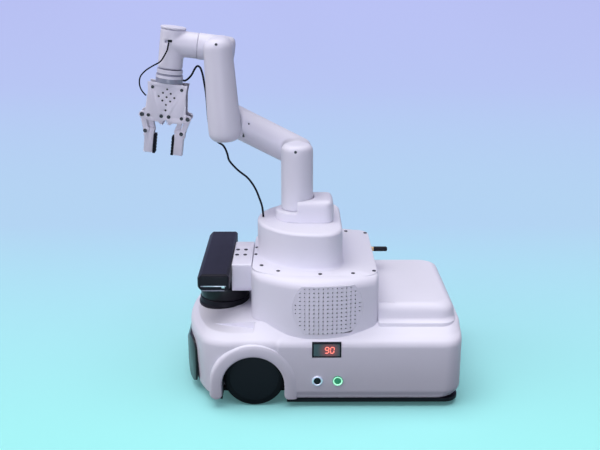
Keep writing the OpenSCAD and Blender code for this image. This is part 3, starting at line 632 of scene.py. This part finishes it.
def deck_level(z):
    """The height of a ring, which stays level with the front deck ahead of the tower."""
    return lambda x, y: z if x < FRONT_DECK_X or z < FRONT_DECK_Z else FRONT_DECK_Z


def arch_outline(grow, floor=-5.0):
    x, z, radius = ARCH
    r = radius + grow
    return [(x - r, floor), (x + r, floor), *arc(x, z, r, 0, 180, 40)]


def lip_mesh(side):
    """Raised rim of a wheel arch. It has a round front foot, and melts into the flank behind the wheel."""
    x, z, radius = ARCH
    foot, turn_in = 14.0, 5.5
    track = [(x + radius, foot + turn_in * (1 - math.cos(a)), 0.0, math.sin(a))
             for a in quarter_turn(6, 0.12)]
    track += [(x + radius * math.cos(a), z + radius * math.sin(a), a, 1.0)
              for a in np.linspace(0, math.pi, 49)]
    track += [(x - radius, height, math.pi, 1.0) for height in (27.0, 20.0, 13.2)]
    points, rows = [], []
    for px, pz, a, full in track:
        drop = 1.3 * float(np.clip((a - 0.9) / 1.4, 0, 1))
        section = [(-0.2, 118.0), (-0.2, 131.7 - drop), (0.5, 132.3 - drop), (1.6, 132.5 - drop),
                   (11.0, 132.4 - drop), (13.4, 131.9 - drop), (15.2, 130.6 - drop * 0.4),
                   (16.4, 127.8), (16.4, 118.0)]
        rows.append(range(len(points), len(points) + len(section)))
        for reach, out in section:
            reach = 8.0 + (reach - 8.0) * full
            points.append((px + reach * math.cos(a), side * out, pz + reach * math.sin(a)))
    faces = [(low[k], low[(k + 1) % len(low)], high[(k + 1) % len(low)], high[k])
             for low, high in zip(rows, rows[1:]) for k in range(len(section))]
    faces += [tuple(rows[0]), tuple(rows[-1])[::-1]]
    return outward(mesh_of(points, faces))


def rear_foot(side):
    """The sharp corner that comes off the flank where it meets the back of the arch."""
    corner = ARCH[0] - ARCH[2]
    outline = [(corner + 0.6, 12.0), (corner + 0.6, 19.0), *arc(corner - 6.0, 19.0, 6.0, 0, -90, 8),
               (corner - 6.0, 12.0)]
    return outline_solid(outline, side * 96, side * 140, "Y")


def lower_shell():
    levels = sorted({*np.linspace(13, 28, 11), *np.linspace(32, 84, 14), *np.linspace(84, 109.6, 30), 110.0})
    rings = [(deck_level(z), z) for z in levels]
    well = [(0, WELL_LOW), (WELL_R, WELL_LOW), (WELL_R, WELL_HIGH), (0, WELL_HIGH)]
    socket = [(0, -1), (SOCKET_R, -1), (SOCKET_R, 16), (0, 16)]
    shell = outward(loft(body_plan, rings, (-30, 0), 560, even=12))
    for side in (1, -1):
        shell = subtract(shell, outline_solid(arch_outline(0.0), side * 88, side * 140, "Y"))
        shell = unite(shell, lip_mesh(side))
        shell = subtract(shell, rear_foot(side))
        shell = subtract(shell, turned(well, (CASTER_X, side * CASTER_Y, 0)))
    (x, z), (half_w, half_h) = DISPLAY, DISPLAY_HALF
    window = rectangle(x - half_w, z - half_h, x + half_w, z + half_h)
    shell = subtract(shell, outline_solid(window, 112, 140, "Y"))
    shell = subtract(shell, turned(socket, (REAR_X, SOCKET_Y, SOCKET_Z), "X"))
    piece("lower_shell_body", shell, "chassis", "white_plastic", "lower_shell")


lower_shell()


# ---------- tower, rear cover and pedestal ----------


def soft_edge(radius, top):
    """Rings (height, inset) of a rounded upper edge, from the wall up to the flat top."""
    return [(top - radius + radius * math.sin(a), radius * (1 - math.cos(a))) for a in quarter_turn(9)]


def edge_inset(radius, top, z):
    rise = min(max(z - (top - radius), 0.0), radius)
    return radius - math.sqrt(max(radius * radius - rise * rise, 0.0))


TOWER_TOP, COVER_TOP = 176.0, 133
TOWER_CENTRE = (-22, 0)


def tower_bow(x, y):
    """The distance outside the tower's bowed side."""
    return np.hypot(x + 22, np.abs(y) + 48) - 171


def tower_flats(x, y):
    """The distance outside the slanted flats at the tower's front corners."""
    return (x + np.abs(y) - 147) / math.sqrt(2)


def tower_plan(x, y, ring):
    z, t = ring
    bow = tower_bow(x, y) + edge_inset(14, TOWER_TOP, z)
    rear = -107 - x + edge_inset(5, TOWER_TOP, z)
    front = x - 62 + edge_inset(8, TOWER_TOP, z)
    flats = tower_flats(x, y) + edge_inset(11, TOWER_TOP, z)
    shell = rounded_corner(rounded_corner(bow, flats, 26), front, 14)
    return rounded_corner(shell, rear, 6) + t


def deck_plan(x, y, ring):
    grow = ring[1]
    bow = tower_bow(x, y) + 8.5
    flats = tower_flats(x, y) + 8.5
    ends = np.maximum(-106 - x, x - 60.5)
    shell = rounded_corner(np.maximum(bow, np.abs(y) - 99), flats, 20)
    return rounded_corner(shell, ends, 10) + grow


def grille_outline(grow):
    x, z = GRILLE
    radius, low, high = GRILLE_R + grow, GRILLE_LOW - grow, GRILLE_HIGH + grow
    below = math.degrees(math.asin((z - low) / radius))
    above = math.degrees(math.asin((high - z) / radius))
    return arc(x, z, radius, -below, above, 30) + arc(x, z, radius, 180 - above, 180 + below, 30)


def tower_shell():
    levels = [84, 100, 120, 140, 155, 162] + [162 + 14 * math.sin(a) for a in quarter_turn(14, 0.08)]
    lead_in = [(0, -5), (ANTENNA_R, -5), (ANTENNA_R, 9), (0, 9)]
    tower = outward(loft(tower_plan, [(z, 0.0) for z in levels], TOWER_CENTRE, 420))
    recess = outward(loft(deck_plan, [(172.8, -0.35), (182, -0.35)], TOWER_CENTRE, 300))
    tower = subtract(tower, recess)
    tower = subtract(tower, outline_solid(grille_outline(0.15), 84, 140, "Y"))
    tower = subtract(tower, turned(lead_in, (-107, ANTENNA_Y, ANTENNA_Z), "X"))
    piece("tower_shell_body", tower, "chassis", "white_plastic", "tower_shell")
    plate = loft(deck_plan, [(173, 0.0), (175.2, 0.0), (175.75, 0.25), (176.0, 0.8)], TOWER_CENTRE, 300)
    piece("deck_plate_body", outward(plate), "chassis", "white_plastic", "deck_plate")


def cover_plan(x, y, ring):
    z, t = ring
    slope = 103 - 0.24 * (z - 90)
    side = np.abs(y) - slope + edge_inset(11, COVER_TOP, z) + t
    rear = REAR_X + 3 + 0.14 * (z - 90) - x + edge_inset(11, COVER_TOP, z) + max(t, 0.0)
    front = x + 107.2
    return rounded_corner(rounded_corner(side, rear, 21), front, 1.5)


def rear_cover():
    flare = [(110.3 + k * 0.9, -5.5 * (1 - k / 6) ** 2) for k in range(7)]
    levels = [(104.0, -5.5), *flare, (118.0, 0.0), (120.0, 0.0)]
    levels += [(122 + 11 * math.sin(a), 0.0) for a in quarter_turn(10)]
    cover = outward(loft(cover_plan, levels, (-160, 0), 320))
    for side in (1, -1):
        groove = rectangle(-131, side * 84, -110, side * 84.9)
        cover = subtract(cover, outline_solid(groove, 131.6, 135))
    piece("rear_cover_body", cover, "chassis", "white_plastic", "rear_cover")


def pedestal_plan(x, y, ring):
    t = ring[1]
    disc = np.hypot(x + 26, y) - 81 + t
    rear = -61 - x + t
    return rounded_corner(disc, rear, 22)


def pedestal():
    flare = 4.2
    foot = [(176 + flare * (1 - math.cos(a)), -flare * (1 - math.sin(a))) for a in quarter_turn(7)]
    rings = [(175.4, -flare), *foot, (200.0, 0.0), *soft_edge(4.5, PEDESTAL_TOP)]
    block = outward(loft(pedestal_plan, rings, TOWER_CENTRE, 300))
    piece("pedestal_body", block, "chassis", "white_plastic", "pedestal")


tower_shell()
rear_cover()
pedestal()
flowing("arm_base", 1.0, 30, [((0, 0, PEDESTAL_TOP), (0, 0, 1))])


# ---------- arm ----------

LEAN = math.radians(TOOL_LEAN)
SEAM_AT = (WRIST[0] - CAN_LENGTH * math.cos(LEAN), WRIST[1], WRIST[2] - CAN_LENGTH * math.sin(LEAN))
SEAM_NORMAL = (math.cos(LEAN), 0, math.sin(LEAN))


def stub(z, radius, low, high, bulge):
    """A short round neck along Y on the arm's first axis, with its rim broken."""
    profile = [(0, low), (radius, low), (radius, high - bulge), (radius - bulge * 0.3, high), (0, high)]
    return turned(profile, (0, 0, z), "Y", 72)


joint_face = [((0, JOINT_PLANE, 0), (0, 1, 0))]
flowing("shoulder_housing", 1.1, 30, joint_face + [((0, 0, 240), (0, 0, 1))],
        extra=stub(SHOULDER_Z, 20.5, JOINT_PLANE + 0.2, 6, 0.5))
flowing("upper_arm", 1.1, 30, joint_face)
flowing("forearm", 1.1, 34, joint_face)
flowing("wrist_elbow", 1.0, 26, joint_face + [(SEAM_AT, SEAM_NORMAL)])
flowing("wrist_can", 1.0, 26, [(SEAM_AT, SEAM_NORMAL)])
softened("can_cap", 0.5)
softened("tool_flange", 0.4)
softened("gripper_adapter", 0.8, 3)
softened("gripper_plates", 0.45)
softened("gripper_servo", 1.0, 3)
softened("gripper_pins", 0.25)
for side in ("left", "right"):
    softened(side + "_gear_arm", 0.25, 1)
    softened(side + "_outer_link", 0.4)
    softened(side + "_finger", 0.5)
    softened(side + "_pad", 0.3)


# ---------- small dark screws, painted shade in the gripper plate's holes, and collar bands ---


def plug(x, z, radius, low, high):
    """A small disc that faces +Y, with its rim broken."""
    profile = [(0, low), (radius, low), (radius, high - 0.2), (radius - 0.25, high), (0, high)]
    return turned(profile, (x, 0, z), "Y", 24)


# Name, node that carries it, x, z, radius, and the y of its back and face
SCREWS = (
    ("forearm_screw", "forearm", 104.8, 464.4, 1.9, 12.0, 17.7),
    ("shoulder_screw", "shoulder_housing", 2.1, 322.6, 2.0, 16.0, 21.4),
    ("upper_arm_screw", "upper_arm", 66.1, 351.5, 1.8, -38.0, -31.2),
    ("lower_arm_screw", "upper_arm", 74.3, 334.2, 1.8, -38.0, -30.5),
    ("left_foot_screw", "left_finger", 211.9, 340.7, 2.7, -40.0, -37.3),
    ("right_foot_screw", "right_finger", 161.8, 335.2, 2.7, -40.0, -37.3),
)
for name, node, *size in SCREWS:
    piece(name, plug(*size), body_of_node[node], "dark_steel")

GRID_Z, GRID_STEP, HOLE_R = -68.7, 7.6 * math.sqrt(0.5), 1.45
holes = [((i - k) * GRID_STEP, GRID_Z + (i + k) * GRID_STEP) for i in (-1, 0, 1) for k in (-1, 0, 1)]
holes.append((0.0, -87.1))
# Dark discs where the gripper plate has holes: painted shade of the holes, which are not cut through
piece("plate_holes", at_wrist(joined(*(plug(x, z, HOLE_R, 11.2, 12.9) for x, z in holes))),
      body_of_node["gripper_plates"], "dark_steel")
for name, radius, low, high in (("upper_band", 17.72, -37.1, -31.2), ("lower_band", 18.7, -43.6, -39.3)):
    band = [(radius - 1, low), (radius, low + 0.3), (radius, high - 0.3), (radius - 1, high)]
    ring = at_wrist(turned(band + band[:1], (0, 0, 0), "Z", 72))
    piece(name, ring, body_of_node["tool_flange"], "white_plastic")

lead_plug = outline_solid(rectangle(168.4, 462.2, 174.1, 465.5), -36.0, -31.9, "Y")
piece("lead_plug", lead_plug, body_of_node["wrist_can"], "black_plastic")
for name, left, right, low in (("bar_line", 93.5, 127.0, 159.0), ("bar_edge", 96.0, 125.0, 152.9)):
    line = outline_solid(rectangle(left, low, right, low + 1.1), 94.2, 95.5, "Y")
    piece(name, line, body_of_node["camera_bar"], "grey_plastic")


# ---------- controls ----------

# The bars of a seven-bar figure, from (left, low) to (right, high), in widths and half heights
BARS = {"top": (0, 2, 1, 2), "middle": (0, 1, 1, 1), "bottom": (0, 0, 1, 0), "upper_left": (0, 1, 0, 2),
        "upper_right": (1, 1, 1, 2), "lower_left": (0, 0, 0, 1), "lower_right": (1, 0, 1, 1)}
DARK_BARS = {"9": ("lower_left",), "0": ("middle",)}
FIGURE_WIDE, FIGURE_TALL, BAR_THICK, BAR_GAP, SLANT = 4.6, 8.2, 1.15, 0.25, 0.10


def figure(character, left, low):
    """The lit bars of one figure. It is read from the robot's left, so it runs towards -X."""
    bars = []
    for name, (x0, z0, x1, z1) in BARS.items():
        if name in DARK_BARS[character]:
            continue
        start = Vector((x0 * FIGURE_WIDE, z0 * FIGURE_TALL / 2))
        end = Vector((x1 * FIGURE_WIDE, z1 * FIGURE_TALL / 2))
        along = (end - start).normalized()
        across = Vector((-along.y, along.x)) * BAR_THICK / 2
        start, end = start + along * BAR_GAP, end - along * BAR_GAP
        shoulder = along * BAR_THICK / 2
        outline = [start, start + shoulder - across, end - shoulder - across, end,
                   end - shoulder + across, start + shoulder + across]
        outline = [(left - p.x - SLANT * p.y, low + p.y) for p in outline]
        bars.append(outline_solid(outline, 129.1, 129.45, "Y"))
    return bars


figures = joined(*figure("9", -36.0, 79.4), *figure("0", -42.9, 79.4))
piece("display_figures", figures, "chassis", "digit_glow")

# Profiles of a button's parts: radius, and height over the panel
BEZEL = [(0, -16), (6, -16), (6, 0.02), (7, 0.02), (7, 0.8), (6.75, 1.45), (6.3, 1.85), (5.7, 2.0),
         (5.2, 1.8), (4.8, 1.3), (4.65, 0.7), (4.65, -14), (0, -14)]
CAP = [(0, -10), (4.55, -10), (4.55, 0.7), (4.45, 1.1), (4.1, 1.4), (3.0, 1.56), (0, 1.6)]
RING_LIGHT = [(4.66, 0.8), (4.82, 1.35), (5.2, 1.88), (5.7, 2.08), (6.3, 1.93), (6.3, 0.8), (4.66, 0.8)]


def on_panel(profile, x):
    return turned(profile, (x, HALF_W, BUTTON_Z), "Y", 48)


piece("stop_bezel", on_panel(BEZEL, STOP_X), "chassis", "bright_steel", "button_bezels")
# The start bezel's green is painted glow from the ring light beside it
piece("start_bezel", on_panel(BEZEL, START_X), "chassis", "lit_steel", "button_bezels")
piece("start_ring_light", on_panel(RING_LIGHT, START_X), "chassis", "ring_light")
piece("stop_cap", on_panel(CAP, STOP_X), "stop_key", slot_of_node["stop_button"], "stop_button")
piece("start_cap", on_panel(CAP, START_X), "start_key", "green_light", "start_button")


# ---------- wheels ----------

HUB = [(0, 76), (4, 76), (4, 99.5), (32, 99.5), (32, 124.3), (28, 124.75), (22, 125.05), (14, 125.35),
       (0, 125.5)]
TYRE = [(32.02, 97.5), (40, 97.5), (41, 98.5), (41, 104), (40.1, 104.5), (40.1, 105.5), (41, 106), (41, 111),
        (40.1, 111.5), (40.1, 112.5), (41, 113), (41, 118), (40.7, 120.2), (39.7, 122.2), (38, 123.5),
        (35.5, 124.15), (32.02, 124.3), (32.02, 97.5)]
for side, axis in (("left", "Y"), ("right", "-Y")):
    for part, profile in (("wheel", HUB), ("tyre", TYRE)):
        node = side + "_" + part
        round_part = turned(profile, WHEEL_AXLE, axis, 96)
        piece(node + "_body", round_part, body_of_node[node], slot_of_node[node], node)


# ---------- visor, scanner, camera, casters and the parts inside ----------

# The width of each node's rounded edges
EDGES = {
    "front_visor": 1.5, "lidar_base": 0.4, "camera_bracket": 1.0, "camera_bar": 0.8, "camera_trim": 0.2,
    "camera_window": 0.2, "antenna_base": 0.25, "charge_port": 0.4, "display_housing": 0.3,
    "deck_screws": 0.2, "bracket_screws": 0.2, "base_plate": 0.8, "caster_mounts": 0.8,
    "left_caster_fork": 0.6, "right_caster_fork": 0.6, "battery_pack": 3.0, "control_board": 0.2,
    "drive_motors": 0.6, "lidar_rotor": 0.5, "speaker_driver": 0.6,
}
for name, width in EDGES.items():
    softened(name, width)


# ---------- cords ----------


def cord_along(name, route, radius, body, node):
    line = bpy.data.curves.new(name, "CURVE")
    line.dimensions = "3D"
    line.bevel_depth = radius * MM
    line.bevel_resolution = 4
    line.use_fill_caps = True
    spline = line.splines.new("POLY")
    spline.points.add(len(route) - 1)
    for point, at in zip(spline.points, route):
        point.co = (*(c * MM for c in at), 1)
    made = place(name, line)
    line.materials.append(finishes["rubber"])
    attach(made, body)
    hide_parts(node)
    [c * MM for c in route[0]]


def rounded_route(points):
    """The points of the route with a smooth curve between them."""
    ends = [points[0], *points, points[-1]]
    route = []
    for a, b, c, d in zip(ends, ends[1:], ends[2:], ends[3:]):
        for k in range(4):
            t = k / 4
            route.append(tuple(0.5 * (2 * q + (r - p) * t + (2 * p - 5 * q + 4 * r - s) * t * t
                                      + (3 * q - p - 3 * r + s) * t ** 3) for p, q, r, s in zip(a, b, c, d)))
    return [*route, tuple(points[-1])]


LEAD_ROUTE = [(172.8, -32, 461.8), (173.8, -30.6, 457.8), (174.9, -29.5, 452.8), (178, -29.5, 446.9),
              (185.1, -31, 437), (196.2, -34, 430.6), (206.3, -38, 424.3), (214.4, -43, 416.4),
              (217.9, -48, 408.4), (217.9, -51, 399.4), (214.8, -52, 392.4), (210.3, -52, 387.3)]
CABLE_ROUTE = [(158.1, -50, 408.6), (155, -50, 408.3), (150.5, -50, 411), (145.5, -50, 416.5),
               (141, -49, 424.5), (137, -47.5, 428.6), (132.8, -45, 426.5), (129.5, -40, 418.5),
               (127, -33.5, 408), (125, -29.5, 397), (123.6, -27, 384), (122.8, -26.4, 368),
               (121.5, -25.5, 352), (118, -22, 338), (109, -13, 330), (101.5, -5, 327), (97.6, -1, 322.5),
               (94.8, 0, 315), (92.3, 0, 306), (81.5, 0, 293.5), (69, 0, 283.3), (62, 0, 274.5),
               (56.6, 0, 264.8), (52.5, 0, 254), (48.5, 0, 241), (47, 0, 226.2)]
cord_along("sensor_lead_cord", rounded_route(LEAD_ROUTE), 1.0, "tool", "sensor_lead")
cord_along("gripper_cable_cord", rounded_route(CABLE_ROUTE), 1.4, "forearm", "gripper_cable")


# ---------- floor ----------

# In metres: the paper's half width, where it starts and bends up behind, the bend, and its top
PAPER_HALF_W, PAPER_FRONT, PAPER_REAR, PAPER_BEND, PAPER_TOP = 7.0, 6.0, -2.6, 1.2, 6.0
FADE_NEAR, FADE_FAR, FADE_STOPS = -0.23, 5.0, (0.0, 0.176, 0.54, 1.0)


def backdrop_paper():
    """Paper that fades from the floor's tint to the wall's, and keeps the object's shadow."""
    paper = Finish("backdrop_paper", Specular_IOR_Level=0.2)
    away = paper.node("ShaderNodeSeparateXYZ", {}, paper.place, out="Y")
    lift = paper.node("ShaderNodeSeparateXYZ", {}, paper.place, out="Z")
    reach = paper.node("ShaderNodeMapRange", {}, lift - away, FADE_NEAR, FADE_FAR, 0.0, 1.0)
    stops = [(position, (*colour, 1)) for position, colour in zip(FADE_STOPS, BACKDROP)]
    fade = paper.node("ShaderNodeValToRGB", {"stops": stops}, reach)
    fibre = paper.noise(300.0, 3.0)
    paper.drive(Base_Color=fade, Roughness=0.7 + 0.1 * fibre)
    glow = paper.node("ShaderNodeEmission", {}, fade, 1.04)
    off = paper.distance_from((0.0, 0.0, 0.0))
    seen = paper.node("ShaderNodeMixShader", {}, 0.12 + 0.78 * off.above(0.8, 0.4), paper.surface, glow)
    shed = paper.node("ShaderNodeBsdfDiffuse", {}, (0.06, 0.06, 0.066, 1))
    paper.show(paper.node("ShaderNodeMixShader", {}, paper.looked_at(), shed, seen))
    return paper.material


def studio_world():
    world = bpy.data.worlds.new("studio")
    bpy.context.scene.world = world
    sky = Wiring(world)
    shed = sky.node("ShaderNodeBackground", {}, (0.92, 0.92, 1.26, 1), 0.20)
    seen = sky.node("ShaderNodeBackground", {}, (*BACKDROP[3], 1), 1.0)
    sky.show(sky.node("ShaderNodeMixShader", {}, sky.looked_at(), shed, seen), "ShaderNodeOutputWorld")


def studio_floor():
    """A sheet that lies under the object and curves up behind it."""
    track = [(PAPER_FRONT, 0.0), (PAPER_REAR, 0.0)]
    track += [(PAPER_REAR - PAPER_BEND * math.sin(a), PAPER_BEND - PAPER_BEND * math.cos(a))
              for a in quarter_turn(12, 0.1)]
    track += [(PAPER_REAR - PAPER_BEND, PAPER_TOP)]
    points = [(x, y, z) for y, z in track for x in (-PAPER_HALF_W, PAPER_HALF_W)]
    faces = [(2 * k, 2 * k + 1, 2 * k + 3, 2 * k + 2) for k in range(len(track) - 1)]
    mesh = bpy.data.meshes.new("studio_floor")
    mesh.from_pydata(points, [], faces)
    mesh.materials.append(backdrop_paper())
    settle(mesh, math.radians(60))
    floor = place("studio_floor", mesh)


studio_world()
studio_floor()
bpy.context.scene.view_settings.view_transform = "Standard"
